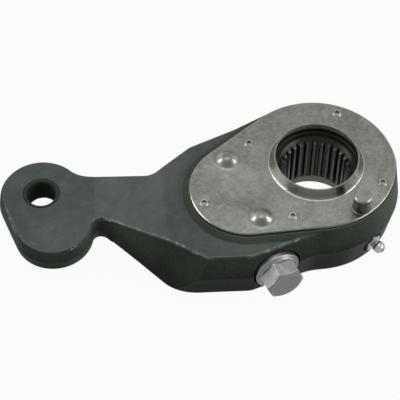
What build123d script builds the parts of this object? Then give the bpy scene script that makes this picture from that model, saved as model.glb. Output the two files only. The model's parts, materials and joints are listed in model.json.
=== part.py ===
from build123d import *
from math import acos, atan, cos, degrees, pi, radians, sin, sqrt, tan
import os

# Manual brake slack adjuster, in millimetres.
# The origin is on the spline's axis at the middle of the head. +Z is the camshaft's axis,
# the arm runs along -X to the clevis pin, and the adjusting hex points to the -Y side.

# Worm wheel
WHEEL_R = 33.0
WHEEL_TEETH = 24
WHEEL_HUB_R = 22.3
WHEEL_HUB_HALF = 17.5
SEAL_SECTION = 3.2
SEAL_GROOVE = 3.9
RING_CHAMFER = 0.5
SPLINE_TEETH = 28
SPLINE_MINOR_R = 17.4
SPLINE_MAJOR_R = 19.2
SPLINE_SPACE = 1.9
SPLINE_CHAMFER_R = 20.6
SPLINE_FLANK = 20.0
WHEEL_RIM_CHAMFER = 0.8

# Head and arm forging, taken at its parting plane. The head's walls are measured from the wheel:
# round it, beside it where the hex comes out, and beside it at the plug.
ARM_LENGTH = 150.0
HEAD_TURN = 19.6
HEAD_WALL = 13.6
NEAR_SIDE_WALL = 9.7
FAR_SIDE_WALL = 10.5
HEAD_SIDE_END = 57.5
FORGED_HALF = 16.2
MACHINED_HALF = 18.0
FORGED_DRAFT = 8.5
FORGED_EDGE = 2.0
ARM_KNEE_NEAR = (-80.4, -58.3)
ARM_KNEE_FAR = (-89.8, 5.0)
ARM_ROOT_NEAR = (13.3, -2.7)
ARM_ROOT_FAR = (15.0, 13.5)
KNEE_NEAR_R = 30.0
KNEE_FAR_R = 8.0
SHOULDER_R = 12.0
FLANK_R = 25.0
NOTCH_FAR = (19.0, 12.7)
NOTCH_R = 3.8
NOTCH_FAR_R = 15.0
SLOPE_END = 83.0
SLOPE_RUN_OUT = 28.0
SLOPE_BLEND = 30.0

# Near wall of the arm: its foot and its crest start at the clevis ear and end past the knee
WALL_FOOT = (37.5, -23.5)
WALL_CREST = (37.9, -23.2)
WALL_FOOT_END = (-57.3, -78.7)
WALL_CREST_END = (-46.8, -66.9)
WALL_RUN_OUT = (-6.7, 2.1)
WALL_REACH = 60.0

# Clevis ear
EAR_THICKNESS = 15.5
EAR_R = 23.3
LOBE_R = 22.3
LOBE_SHIFT = (5.8, -19.4)
CLEVIS_BORE_R = 8.1
CLEVIS_BUSH_R = 9.5
CLEVIS_CHAMFER = 0.6
EAR_CHAMFER = 0.7

# Covers, gaskets and rivets, placed by their distance outside the wheel
SHEET = 1.5
SHEET_EDGE = 0.45
GASKET = 0.5
GASKET_MARGIN = 0.6
COVER_LAP = 10.2
COVER_NOSE_R = 31.2
COVER_NOSE_OUT = 8.3
PAD_MARGIN = 0.8
PAD_SLOPE = 60.0
PAD_ROOT = 1.0
COLLAR_R = 22.4
COLLAR_EDGE = 0.8
COLLAR_HEIGHT = 5.6
COLLAR_LEAN = 25.0
COLLAR_BEND = 0.9
DOME_V = 21.4
DOME_R = 6.4
DOME_HEIGHT = 3.3
DOME_TOP_R = 2.6
RIVET_R = 2.0
RIVET_HEAD_R = 2.7
RIVET_HEAD_HEIGHT = 0.75
RIVET_HEAD_SLOPE = 0.6
RIVET_DIMPLE_R = 1.2
RIVET_DIMPLE_FLOOR_R = 0.9
RIVET_DIMPLE_DEPTH = 1.2
RIVET_PLACES = ((5.7, 44.4), (5.7, -44.4), (4.6, 134.9), (4.6, -134.9), (33.9, 0.0))
STUD_PLACE = (4.8, 102.6)
STUD_R = 4.8
STUD_HEIGHT = 10.4
STUD_BASE_R = 5.1
STUD_FLARE = 0.6
STUD_ROUND = 0.6
STUD_SHANK_R = 2.5
STUD_DEPTH = 12.0

# Worm and its shaft
WORM_OUT = 10.4
WORM_R = 13.3
WORM_HALF = 15.0
TOOTH_FLANK = 20.0
TOOTH_BACKLASH = 0.35
TOOTH_CLEARANCE = 0.4
SHAFT_R = 7.5
JOURNAL_R = 9.0
FLANGE_R = 12.5
FLANGE_PROUD = 0.5
FLANGE_BEVEL = 1.6
FLANGE_THICKNESS = 4.0
COUNTERBORE_R = 13.8
HEX_ACROSS_FLATS = 19.0
HEX_LENGTH = 9.0
HEX_TURN = 8.0
HEX_CHAMFER = 30.0
HEX_FACE_R = 8.4
KEY_WIDTH = 4.0
KEY_HEIGHT = 3.0
KEY_LENGTH = 20.0
TAIL_CHAMFER = 0.8
BUSH_LENGTH = 12.0
CIRCLIP_R = 9.0
CIRCLIP_THICKNESS = 1.2
CIRCLIP_GAP = 3.2
CIRCLIP_SEAT = 6.6
SHAFT_TAIL = 2.0
PLUG_DEPTH = 2.0
PLUG_LENGTH = 5.0
PLUG_SHEET = 1.4
O_RING_SECTION = 1.8
O_RING_GROOVE = 2.4
O_RING_V = 31.0

# Detents on the shaft's two journals
BALL_R = 4.0
FLUTES = 12
FLUTE_R = 4.3
FLUTE_DEPTH = 0.25
FLUTE_LENGTH = 9.0
SPRING_R = 2.6
SPRING_WIRE_R = 0.4
SPRING_TURNS = 3.5

# Grease nipple
NIPPLE_HEADING = -51.6
NIPPLE_Z = -7.5
NIPPLE_SPOT_DEPTH = 4.0
NIPPLE_SPOT_R = 6.4
NIPPLE_THREAD_R = 3.9
NIPPLE_THREAD = 6.0
NIPPLE_HEX = 9.0
NIPPLE_FACE_R = 4.3
NIPPLE_HEX_LENGTH = 4.0
NIPPLE_NECK_R = 2.2
NIPPLE_HEAD_R = 3.4
NIPPLE_HEAD_OUT = 7.4
NIPPLE_TIP_R = 1.6
NIPPLE_MOUTH_R = 0.8
NIPPLE_BORE_R = 1.5
NIPPLE_BALL_R = 1.25
NIPPLE_MOUTH_DEPTH = 1.6
NIPPLE_DRILL_R = 1.1
NIPPLE_SPRING_R = 1.0
NIPPLE_SPRING_WIRE_R = 0.2
NIPPLE_SPRING_TURNS = 4.5
NIPPLE_SPRING_SEAT = 2.5

# Clearances: radial running and sliding fits, the line round a pressed piece, faces that pass each other
RUNNING = 0.08
SLIDING = 0.1
PRESS_LINE = 0.02
FACE_GAP = 0.3
SEAT_GAP = 0.05

# Sizes that follow from the ones above
HEAD_R = WHEEL_R + HEAD_WALL
NEAR_SIDE = WHEEL_R + NEAR_SIDE_WALL
FAR_SIDE = WHEEL_R + FAR_SIDE_WALL
COVER_R = WHEEL_R + COVER_LAP
COVER_NOSE_U = WHEEL_R + COVER_NOSE_OUT
WORM_U = WHEEL_R + WORM_OUT
COVER_INNER = MACHINED_HALF + GASKET
COVER_FACE = COVER_INNER + SHEET
DOME_FACE = COVER_FACE + DOME_HEIGHT
WHEEL_LAND_HALF = COVER_INNER - FACE_GAP
SEAL_LAND_R = WHEEL_HUB_R + SEAL_GROOVE
MAIN_BORE_R = WHEEL_R + SLIDING
WORM_BORE_R = WORM_R + FACE_GAP
JOURNAL_BORE_R = JOURNAL_R + RUNNING
BALL_HOLE_R = BALL_R + SLIDING
RIVET_HOLE_R = RIVET_R + SLIDING
FLANGE_FRONT = NEAR_SIDE + FLANGE_PROUD
FLANGE_BACK = FLANGE_FRONT - FLANGE_THICKNESS
HEX_START = FLANGE_FRONT + FLANGE_BEVEL
HEX_END = HEX_START + HEX_LENGTH
WORM_CHAMBER_HALF = WORM_HALF + FACE_GAP
BUSH_END = WORM_CHAMBER_HALF + BUSH_LENGTH
CIRCLIP_BACK = BUSH_END + FACE_GAP + CIRCLIP_THICKNESS
SHAFT_END = CIRCLIP_BACK + SHAFT_TAIL
TOOTH_CENTRE_R = (WHEEL_R + WORM_U - WORM_R) / 2
TOOTH_PITCH = 2 * pi * TOOTH_CENTRE_R / WHEEL_TEETH
WORM_CENTRE_R = WORM_U - TOOTH_CENTRE_R
WORM_ROOT_R = WORM_U - WHEEL_R - TOOTH_CLEARANCE
LEAD_ANGLE = atan(TOOTH_PITCH / (2 * pi * WORM_CENTRE_R))
SPLINE_PITCH_R = (SPLINE_MINOR_R + SPLINE_MAJOR_R) / 2
NEAR_BALL_Z = JOURNAL_R + SEAT_GAP + BALL_R
FAR_BALL_Z = SHAFT_R + SEAT_GAP + BALL_R
SPRING_RISE = sqrt((BALL_R + SPRING_WIRE_R + SEAT_GAP) ** 2 - SPRING_R**2)
SPRING_TOP = DOME_FACE - SHEET - SPRING_WIRE_R - SEAT_GAP
NIPPLE_SEAT = HEAD_R - NIPPLE_SPOT_DEPTH

# The head is turned about the bore: u runs along its own centre line towards the arm, v to the hex side.
HEAD = Plane(
    origin=(0, 0, 0),
    x_dir=(-cos(radians(HEAD_TURN)), -sin(radians(HEAD_TURN)), 0),
    z_dir=(0, 0, 1),
)


def head_point(u, v, z=0.0):
    """A point of the turned head, in the part's own frame."""
    return HEAD.from_local_coords(Vector(u, v, z))


def head_direction(u, v):
    """A direction in the turned head, in the part's own frame."""
    return head_point(u, v) - head_point(0, 0)


def beyond_wheel(place):
    """Plan coordinates of a distance outside the wheel and an angle from the head's centre line."""
    distance, angle = place
    radius = WHEEL_R + distance
    return xy_of(radius * cos(radians(angle)), radius * sin(radians(angle)))


# The worm's frame: x points at the bore's axis, y up, z along the shaft towards the hex.
WORM = Plane(origin=head_point(WORM_U, 0), x_dir=head_direction(-1, 0), z_dir=head_direction(0, 1))
CLEVIS = (-ARM_LENGTH, 0)

# The nipple's frame: z points out of the head, from the spot face that it seats on.
NIPPLE_WAY = Vector(cos(radians(NIPPLE_HEADING)), sin(radians(NIPPLE_HEADING)), 0)
NIPPLE = Plane(
    origin=NIPPLE_WAY * NIPPLE_SEAT + Vector(0, 0, NIPPLE_Z), x_dir=(0, 0, 1), z_dir=NIPPLE_WAY
)


def xy_of(u, v):
    """Plan coordinates of a point given in the turned head."""
    point = head_point(u, v)
    return (point.X, point.Y)


RIVET_POINTS = [beyond_wheel(place) for place in RIVET_PLACES]
DETENT_POINTS = [xy_of(WORM_U, DOME_V), xy_of(WORM_U, -DOME_V)]
STUD_POINT = beyond_wheel(STUD_PLACE)


def from_clevis(offset_xy):
    """Plan coordinates of a point given from the clevis pin."""
    return (CLEVIS[0] + offset_xy[0], CLEVIS[1] + offset_xy[1])


def belt(first, first_r, second, second_r):
    """A plan outline round two circles and the two tangents outside them."""
    span = Vector(*second) - Vector(*first)
    turn = degrees(acos((first_r - second_r) / span.length))
    normals = [span.normalized().rotate(Axis.Z, angle) for angle in (turn, -turn)]
    corners = [Vector(*first) + normals[0] * first_r, Vector(*second) + normals[0] * second_r]
    corners += [Vector(*second) + normals[1] * second_r, Vector(*first) + normals[1] * first_r]
    with BuildSketch(mode=Mode.PRIVATE) as outline:
        with Locations(first):
            Circle(first_r)
        with Locations(second):
            Circle(second_r)
        with BuildLine():
            Polyline(*corners, close=True)
        make_face()
    return outline.sketch


def cover_plan(margin):
    """The covers' outline, grown by a margin."""
    return belt((0, 0), COVER_R + margin, xy_of(COVER_NOSE_U, 0), COVER_NOSE_R + margin)


def turned(plane, outline):
    """A solid turned about the plane's z axis from an outline of radius and height."""
    with BuildPart(mode=Mode.PRIVATE) as body:
        with BuildSketch(Plane(origin=plane.origin, x_dir=plane.x_dir, z_dir=-plane.y_dir)):
            with BuildLine():
                Polyline(*outline, close=True)
            make_face()
        revolve(axis=Axis(plane.origin, plane.z_dir))
    return body.part


def coil(plane, radius, wire_radius, start, end, turns):
    """A spring about the plane's z axis, its wire drawn with six flats."""
    with BuildPart(mode=Mode.PRIVATE) as spring:
        with BuildLine() as path:
            Helix((end - start) / turns, end - start, radius, center=(0, 0, start))
        with BuildSketch(Plane(path.line @ 0, z_dir=path.line % 0)):
            RegularPolygon(wire_radius, 6)
        sweep(path=path.line, is_frenet=True)
    return plane.location * spring.part


def ring(plane, inner_radius, bottom, width, height):
    """A chamfered rubber ring about the plane's z axis."""
    outer_radius = inner_radius + width
    top = bottom + height
    section = [
        (inner_radius + RING_CHAMFER, bottom),
        (outer_radius - RING_CHAMFER, bottom),
        (outer_radius, bottom + RING_CHAMFER),
        (outer_radius, top - RING_CHAMFER),
        (outer_radius - RING_CHAMFER, top),
        (inner_radius + RING_CHAMFER, top),
        (inner_radius, top - RING_CHAMFER),
        (inner_radius, bottom + RING_CHAMFER),
    ]
    return turned(plane, section)


def wall_section(start, end):
    """What is cut away outside a line along the arm's near wall, from the clevis ear past the knee."""
    start = from_clevis(start)
    run_out = (start[0] + WALL_RUN_OUT[0], start[1] + WALL_RUN_OUT[1])
    return [run_out, start, end, (end[0], end[1] - WALL_REACH), (run_out[0], end[1] - WALL_REACH)]


def follows_outline(edge):
    """Whether an edge of the forging runs round one of its faces, not up a wall or across the arm."""
    along = edge.tangent_at(0.5)
    crosses = edge.geom_type == GeomType.LINE and abs(along.Y) > 0.99
    return abs(along.Z) < 0.9 and not crosses and abs(edge.center().Z) > EAR_THICKNESS / 4


def spline_half_width(radius):
    """Half the width of a spline space at a radius."""
    return SPLINE_SPACE / 2 + (SPLINE_PITCH_R - radius) * tan(radians(SPLINE_FLANK))


def thread_half_width(radius):
    """Half the worm thread's width along its axis at a radius from that axis."""
    return TOOTH_PITCH / 4 - (radius - WORM_CENTRE_R) * tan(radians(TOOTH_FLANK))


def thread_section(base, tip, allowance):
    """The thread's four corners, as radius and place along the axis, grown by an allowance."""
    low = thread_half_width(base) + allowance
    high = thread_half_width(tip) + allowance
    return [(base, -low), (tip, -high), (tip, high), (base, low)]


os.makedirs("parts", exist_ok=True)

# Housing: plan of the forging at its parting plane, and the arm's side view
plan_corners = [
    xy_of(0, NEAR_SIDE),
    xy_of(HEAD_SIDE_END, NEAR_SIDE),
    ARM_KNEE_NEAR,
    from_clevis(ARM_ROOT_NEAR),
    from_clevis(ARM_ROOT_FAR),
    ARM_KNEE_FAR,
    xy_of(HEAD_SIDE_END, -FAR_SIDE),
    xy_of(0, -HEAD_R),
]
slope_start = ARM_LENGTH - SLOPE_RUN_OUT
side_half = [
    (-ARM_LENGTH - 2 * EAR_R, EAR_THICKNESS / 2),
    (-slope_start, EAR_THICKNESS / 2),
    (-SLOPE_END, FORGED_HALF),
    (2 * HEAD_R, FORGED_HALF),
]

with BuildSketch() as arm_plan:
    with BuildLine():
        Polyline(*plan_corners, close=True)
    make_face()
    for corner, radius in (
        (xy_of(HEAD_SIDE_END, NEAR_SIDE), SHOULDER_R),
        (ARM_KNEE_NEAR, KNEE_NEAR_R),
        (ARM_KNEE_FAR, KNEE_FAR_R),
        (xy_of(HEAD_SIDE_END, -FAR_SIDE), SHOULDER_R),
    ):
        fillet(arm_plan.vertices().sort_by_distance(Vector(*corner))[0], radius)
    Circle(HEAD_R)
    flank = xy_of(sqrt(HEAD_R**2 - NEAR_SIDE**2), NEAR_SIDE)
    fillet(arm_plan.vertices().sort_by_distance(Vector(*flank))[0], FLANK_R)

ear_plan = belt(CLEVIS, EAR_R, from_clevis(LOBE_SHIFT), LOBE_R)
with BuildSketch() as forging_plan:
    add(arm_plan.sketch)
    add(ear_plan)
    far_hollow = forging_plan.vertices().sort_by_distance(Vector(*from_clevis(NOTCH_FAR)))[0]
    fillet(far_hollow, NOTCH_FAR_R)
    offset(amount=NOTCH_R, kind=Kind.ARC)
    offset(amount=-NOTCH_R, kind=Kind.ARC)

# Both halves draw in from the parting plane, as they leave the dies
with BuildPart() as drafted:
    with BuildSketch():
        add(forging_plan.sketch)
    extrude(amount=MACHINED_HALF, taper=FORGED_DRAFT)
    mirror(about=Plane.XY)

# Machined pads for the covers, with flanks that slope down to the forged faces
pad_depth = MACHINED_HALF - FORGED_HALF + PAD_ROOT
pad_foot = cover_plan(PAD_MARGIN + pad_depth * tan(radians(PAD_SLOPE)))
with BuildPart() as pads:
    with BuildSketch(Plane.XY.offset(MACHINED_HALF - pad_depth)):
        add(pad_foot)
    extrude(amount=pad_depth, taper=PAD_SLOPE)
    mirror(about=Plane.XY)
    add(drafted.part, mode=Mode.INTERSECT)

# The arm's near wall is one leaning face, ruled from its foot to its crest
with BuildPart() as beside_wall:
    for level, start, end in (
        (-MACHINED_HALF, WALL_FOOT, WALL_FOOT_END),
        (MACHINED_HALF, WALL_CREST, WALL_CREST_END),
    ):
        with BuildSketch(Plane.XY.offset(level)):
            with BuildLine():
                Polyline(*wall_section(start, end), close=True)
            make_face()
    loft(ruled=True)

# Stepped bore across the head: worm and bush from the far side, journal and flange at the hex
flange_seat = FLANGE_BACK - FACE_GAP
worm_bores = turned(
    WORM,
    [
        (0, -2 * FAR_SIDE),
        (WORM_BORE_R, -2 * FAR_SIDE),
        (WORM_BORE_R, WORM_CHAMBER_HALF),
        (JOURNAL_BORE_R, WORM_CHAMBER_HALF),
        (JOURNAL_BORE_R, flange_seat),
        (COUNTERBORE_R, flange_seat),
        (COUNTERBORE_R, 2 * NEAR_SIDE),
        (0, 2 * NEAR_SIDE),
    ],
)
nipple_floor = -NIPPLE_THREAD - FACE_GAP
nipple_hole = turned(
    NIPPLE,
    [
        (0, MAIN_BORE_R - NIPPLE_SEAT - 1),
        (NIPPLE_DRILL_R, MAIN_BORE_R - NIPPLE_SEAT - 1),
        (NIPPLE_DRILL_R, nipple_floor),
        (NIPPLE_THREAD_R + PRESS_LINE, nipple_floor),
        (NIPPLE_THREAD_R + PRESS_LINE, 0),
        (NIPPLE_SPOT_R, 0),
        (NIPPLE_SPOT_R, NIPPLE_THREAD),
        (0, NIPPLE_THREAD),
    ],
)

with BuildPart() as housing:
    add(drafted.part)
    with BuildSketch(Plane.XZ) as side_view:
        with BuildLine():
            Polyline(*side_half, *[(x, -z) for x, z in reversed(side_half)], close=True)
        make_face()
        blends = [
            vertex
            for vertex in side_view.vertices()
            if min(abs(vertex.X + slope_start), abs(vertex.X + SLOPE_END)) < 1
        ]
        fillet(blends, SLOPE_BLEND)
    extrude(amount=2 * ARM_LENGTH, both=True, mode=Mode.INTERSECT)
    fillet([edge for edge in housing.edges() if follows_outline(edge)], FORGED_EDGE)
    add(beside_wall.part, mode=Mode.SUBTRACT)
    add(pads.part)
    Cylinder(MAIN_BORE_R, 4 * MACHINED_HALF, mode=Mode.SUBTRACT)

    # Bores for the worm, its near journal and the flange
    add(worm_bores, mode=Mode.SUBTRACT)

    # Clevis hole
    with Locations(CLEVIS):
        Cylinder(CLEVIS_BUSH_R + PRESS_LINE, 2 * EAR_THICKNESS, mode=Mode.SUBTRACT)
    rims = housing.edges().filter_by(GeomType.CIRCLE)
    rims = [rim for rim in rims if abs(rim.radius - CLEVIS_BUSH_R - PRESS_LINE) < PRESS_LINE / 2]
    chamfer(rims, EAR_CHAMFER)

    # Rivet holes right through, and blind holes for the detents and the stud
    with Locations(*RIVET_POINTS):
        Cylinder(RIVET_HOLE_R, 4 * MACHINED_HALF, mode=Mode.SUBTRACT)
    with BuildSketch():
        with Locations(*DETENT_POINTS):
            Circle(BALL_HOLE_R)
    extrude(amount=2 * MACHINED_HALF, mode=Mode.SUBTRACT)
    with BuildSketch(Plane.XY.offset(MACHINED_HALF - STUD_DEPTH - FACE_GAP)):
        with Locations(STUD_POINT):
            Circle(STUD_SHANK_R + PRESS_LINE)
    extrude(amount=STUD_DEPTH + 1, mode=Mode.SUBTRACT)

    # Spot face, thread hole and grease way for the nipple
    add(nipple_hole, mode=Mode.SUBTRACT)

# Clevis bush
with BuildPart() as clevis_bush:
    with Locations(CLEVIS):
        Cylinder(CLEVIS_BUSH_R, EAR_THICKNESS)
        Cylinder(CLEVIS_BORE_R, EAR_THICKNESS, mode=Mode.SUBTRACT)
    inner_rims = clevis_bush.edges().filter_by(GeomType.CIRCLE).group_by(SortBy.RADIUS)[0]
    chamfer(inner_rims, CLEVIS_CHAMFER)

# Pressed covers with a drawn collar that leans in over the spline
cover_outline = cover_plan(0)
collar_rim = COVER_FACE + COLLAR_HEIGHT
lean = radians(COLLAR_LEAN)
bend_z = COVER_FACE + COLLAR_BEND
bend_r = COLLAR_R + COLLAR_EDGE + COLLAR_BEND * cos(lean)
bend_r += (collar_rim - bend_z + COLLAR_BEND * sin(lean)) * tan(lean)

with BuildPart() as collar:
    with BuildSketch(Plane.XZ):
        with BuildLine():
            outside = CenterArc((bend_r, bend_z), COLLAR_BEND, 180 + COLLAR_LEAN, 90 - COLLAR_LEAN)
            inside = CenterArc((bend_r, bend_z), COLLAR_BEND + SHEET, 180 + COLLAR_LEAN, 90 - COLLAR_LEAN)
            Line(outside @ 1, inside @ 1)
            Polyline(outside @ 0, (COLLAR_R + COLLAR_EDGE, collar_rim), (COLLAR_R, collar_rim), inside @ 0)
        make_face()
    revolve(axis=Axis.Z)

dome_arc_r = ((DOME_R - DOME_TOP_R) ** 2 + DOME_HEIGHT**2) / (2 * DOME_HEIGHT)
dome_centre = (DOME_TOP_R, DOME_FACE - dome_arc_r)
dome_angle = degrees(acos((DOME_R - DOME_TOP_R) / dome_arc_r))
dome_inner_r = dome_arc_r - SHEET

with BuildPart() as dome_outside:
    with BuildSketch(Plane.XZ):
        with BuildLine():
            Line((0, COVER_FACE), (DOME_R, COVER_FACE))
            CenterArc(dome_centre, dome_arc_r, dome_angle, 90 - dome_angle)
            Line((DOME_TOP_R, DOME_FACE), (0, DOME_FACE))
            Line((0, DOME_FACE), (0, COVER_FACE))
        make_face()
    revolve(axis=Axis.Z)

dome_inside = turned(
    Plane.XY,
    [
        (0, COVER_INNER - SHEET),
        (DOME_TOP_R + dome_inner_r, COVER_INNER - SHEET),
        (DOME_TOP_R + dome_inner_r, COVER_INNER),
        (DOME_TOP_R + dome_inner_r * cos(pi / 4), dome_centre[1] + dome_inner_r * sin(pi / 4)),
        (DOME_TOP_R, DOME_FACE - SHEET),
        (0, DOME_FACE - SHEET),
    ],
)

with BuildPart() as cover_sheet:
    with BuildSketch(Plane.XY.offset(COVER_INNER)):
        add(cover_outline)
        Circle(bend_r, mode=Mode.SUBTRACT)
    extrude(amount=SHEET)
    chamfer(cover_sheet.faces().sort_by(Axis.Z)[-1].outer_wire().edges(), SHEET_EDGE)
    add(collar.part)
    with Locations(*RIVET_POINTS):
        Cylinder(RIVET_HOLE_R, 4 * COVER_FACE, mode=Mode.SUBTRACT)

with BuildPart() as upper_cover:
    add(cover_sheet.part)
    with Locations(*DETENT_POINTS):
        add(dome_outside.part)
        add(dome_inside, mode=Mode.SUBTRACT)
    with Locations(STUD_POINT):
        Cylinder(STUD_SHANK_R + PRESS_LINE, 4 * COVER_FACE, mode=Mode.SUBTRACT)

with BuildPart() as lower_cover:
    add(cover_sheet.part)
    mirror(about=Plane.XY, mode=Mode.REPLACE)

# Gaskets between the covers and the machined faces
gasket_outline = cover_plan(-GASKET_MARGIN)
with BuildPart() as upper_gasket:
    with BuildSketch(Plane.XY.offset(MACHINED_HALF)):
        add(gasket_outline)
        Circle(MAIN_BORE_R, mode=Mode.SUBTRACT)
        with Locations(*RIVET_POINTS):
            Circle(RIVET_HOLE_R, mode=Mode.SUBTRACT)
        with Locations(*DETENT_POINTS):
            Circle(BALL_HOLE_R, mode=Mode.SUBTRACT)
        with Locations(STUD_POINT):
            Circle(STUD_SHANK_R + PRESS_LINE, mode=Mode.SUBTRACT)
    extrude(amount=GASKET)

with BuildPart() as lower_gasket:
    with BuildSketch(Plane.XY.offset(-COVER_INNER)):
        add(gasket_outline)
        Circle(MAIN_BORE_R, mode=Mode.SUBTRACT)
        with Locations(*RIVET_POINTS):
            Circle(RIVET_HOLE_R, mode=Mode.SUBTRACT)
    extrude(amount=GASKET)

# Rivets through both covers, each closed to a hollow head at both ends
rivet_top = COVER_FACE + RIVET_HEAD_HEIGHT
rivet_floor = rivet_top - RIVET_DIMPLE_DEPTH
rivet_half = turned(
    Plane.XY,
    [
        (0, 0),
        (RIVET_R, 0),
        (RIVET_R, COVER_FACE),
        (RIVET_HEAD_R, COVER_FACE),
        (RIVET_HEAD_R - RIVET_HEAD_SLOPE, rivet_top),
        (RIVET_DIMPLE_R, rivet_top),
        (RIVET_DIMPLE_FLOOR_R, rivet_floor),
        (0, rivet_floor),
    ],
)
with BuildPart() as rivet:
    add(rivet_half)
    mirror(about=Plane.XY)

with BuildPart() as cover_rivets:
    with Locations(*RIVET_POINTS):
        add(rivet.part)

# Plain stud pressed into the head beside the hex end
stud_top = COVER_FACE + STUD_HEIGHT
stud_outline = [
    (0, MACHINED_HALF - STUD_DEPTH),
    (STUD_SHANK_R, MACHINED_HALF - STUD_DEPTH),
    (STUD_SHANK_R, COVER_FACE),
    (STUD_BASE_R, COVER_FACE),
    (STUD_R, COVER_FACE + STUD_FLARE),
    (STUD_R, stud_top),
    (0, stud_top),
]
stud_blank = turned(Plane.XY, stud_outline)
with BuildPart() as guide_stud:
    with Locations(STUD_POINT):
        add(stud_blank)
    crown = guide_stud.edges().filter_by(GeomType.CIRCLE).sort_by(Axis.Z)[-1]
    chamfer(crown, STUD_ROUND)

# Rubber rings under the collars, in the wheel's two grooves
seal_bottom = COVER_INNER - FACE_GAP - SEAL_SECTION
seal_floor_half = seal_bottom - FACE_GAP
seal_inner_r = WHEEL_HUB_R + (SEAL_GROOVE - SEAL_SECTION) / 2
seal_ring = ring(Plane.XY, seal_inner_r, seal_bottom, SEAL_SECTION, SEAL_SECTION)

with BuildPart() as upper_seal_ring:
    add(seal_ring)

with BuildPart() as lower_seal_ring:
    add(seal_ring)
    mirror(about=Plane.XY, mode=Mode.REPLACE)

# Worm wheel: turned blank, internal splines, throated tooth gaps
wheel_half = [
    (SPLINE_MINOR_R, WHEEL_HUB_HALF - (SPLINE_CHAMFER_R - SPLINE_MINOR_R)),
    (SPLINE_CHAMFER_R, WHEEL_HUB_HALF),
    (WHEEL_HUB_R, WHEEL_HUB_HALF),
    (WHEEL_HUB_R, seal_floor_half),
    (SEAL_LAND_R, seal_floor_half),
    (SEAL_LAND_R, WHEEL_LAND_HALF),
    (WHEEL_R - WHEEL_RIM_CHAMFER, WHEEL_LAND_HALF),
    (WHEEL_R, WHEEL_LAND_HALF - WHEEL_RIM_CHAMFER),
]
spline_inner_r = SPLINE_MINOR_R - SPLINE_SPACE / 2
gap_inner = WORM_ROOT_R - TOOTH_CLEARANCE
gap_outer = WORM_R + TOOTH_CLEARANCE
gap_outline = thread_section(gap_inner, gap_outer, TOOTH_BACKLASH)
tooth_axis = head_direction(0, 1) * cos(LEAD_ANGLE) - Vector(0, 0, 1) * sin(LEAD_ANGLE)
tooth_gap = turned(
    Plane(origin=head_point(WORM_U, 0), x_dir=head_direction(1, 0), z_dir=tooth_axis), gap_outline
)

wheel_blank = turned(Plane.XY, wheel_half + [(radius, -z) for radius, z in reversed(wheel_half)])

with BuildPart() as worm_wheel:
    add(wheel_blank)
    with BuildSketch(Plane.XY.offset(-MACHINED_HALF)):
        with PolarLocations(0, SPLINE_TEETH):
            Polygon(
                (spline_inner_r, -spline_half_width(spline_inner_r)),
                (SPLINE_MAJOR_R, -spline_half_width(SPLINE_MAJOR_R)),
                (SPLINE_MAJOR_R, spline_half_width(SPLINE_MAJOR_R)),
                (spline_inner_r, spline_half_width(spline_inner_r)),
                align=None,
            )
    extrude(amount=2 * MACHINED_HALF, mode=Mode.SUBTRACT)
    with PolarLocations(0, WHEEL_TEETH):
        add(tooth_gap, mode=Mode.SUBTRACT)

# Worm: one start, right hand, bored and keyed for its shaft
thread_turns = 2 * int(WORM_HALF / TOOTH_PITCH + 1.5)
thread_base = WORM_ROOT_R - TOOTH_CLEARANCE
key_floor = SHAFT_R - KEY_HEIGHT / 2
key_top = SHAFT_R + KEY_HEIGHT / 2
key_middle = (key_floor + key_top) / 2

with BuildPart() as thread:
    with BuildLine() as thread_path:
        Helix(
            TOOTH_PITCH,
            thread_turns * TOOTH_PITCH,
            WORM_CENTRE_R,
            center=(0, 0, -thread_turns * TOOTH_PITCH / 2),
        )
    with BuildSketch(Plane(thread_path.line @ 0, x_dir=(1, 0, 0), z_dir=thread_path.line % 0)):
        with BuildLine():
            Polyline(
                *[
                    (radius - WORM_CENTRE_R, place * cos(LEAD_ANGLE))
                    for radius, place in thread_section(thread_base, WORM_R, 0)
                ],
                close=True,
            )
        make_face()
    sweep(path=thread_path.line, is_frenet=True)

with BuildPart() as worm_blank:
    Cylinder(WORM_ROOT_R, 2 * WORM_HALF)
    add(thread.part)
    Cylinder(2 * WORM_R, 2 * WORM_HALF, mode=Mode.INTERSECT)
    Cylinder(SHAFT_R + PRESS_LINE, 4 * WORM_HALF, mode=Mode.SUBTRACT)
    with Locations((0, key_top / 2, 0)):
        Box(
            KEY_WIDTH + 2 * PRESS_LINE,
            key_top + 2 * PRESS_LINE,
            4 * WORM_HALF,
            mode=Mode.SUBTRACT,
        )

with BuildPart() as worm:
    with Locations(WORM.location):
        add(worm_blank.part)

# Worm shaft: tail with a circlip, fluted journals, flange and adjusting hex
clip_front = -BUSH_END - FACE_GAP
o_ring_r = JOURNAL_BORE_R - SEAT_GAP - O_RING_SECTION
o_ring_floor = o_ring_r - SEAT_GAP
hex_corner_r = HEX_ACROSS_FLATS / sqrt(3)
hex_shoulder = HEX_END - (hex_corner_r - HEX_FACE_R) * tan(radians(HEX_CHAMFER))
shaft_outline = [
    (0, -SHAFT_END),
    (SHAFT_R - TAIL_CHAMFER, -SHAFT_END),
    (SHAFT_R, -SHAFT_END + TAIL_CHAMFER),
    (SHAFT_R, -CIRCLIP_BACK - SEAT_GAP),
    (CIRCLIP_SEAT, -CIRCLIP_BACK - SEAT_GAP),
    (CIRCLIP_SEAT, clip_front + SEAT_GAP),
    (SHAFT_R, clip_front + SEAT_GAP),
    (SHAFT_R, WORM_HALF + SEAT_GAP),
    (JOURNAL_R, WORM_HALF + SEAT_GAP),
    (JOURNAL_R, O_RING_V - O_RING_GROOVE / 2),
    (o_ring_floor, O_RING_V - O_RING_GROOVE / 2),
    (o_ring_floor, O_RING_V + O_RING_GROOVE / 2),
    (JOURNAL_R, O_RING_V + O_RING_GROOVE / 2),
    (JOURNAL_R, FLANGE_BACK),
    (FLANGE_R, FLANGE_BACK),
    (FLANGE_R, FLANGE_FRONT),
    (FLANGE_R - FLANGE_BEVEL, HEX_START),
    (0, HEX_START),
]
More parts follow.
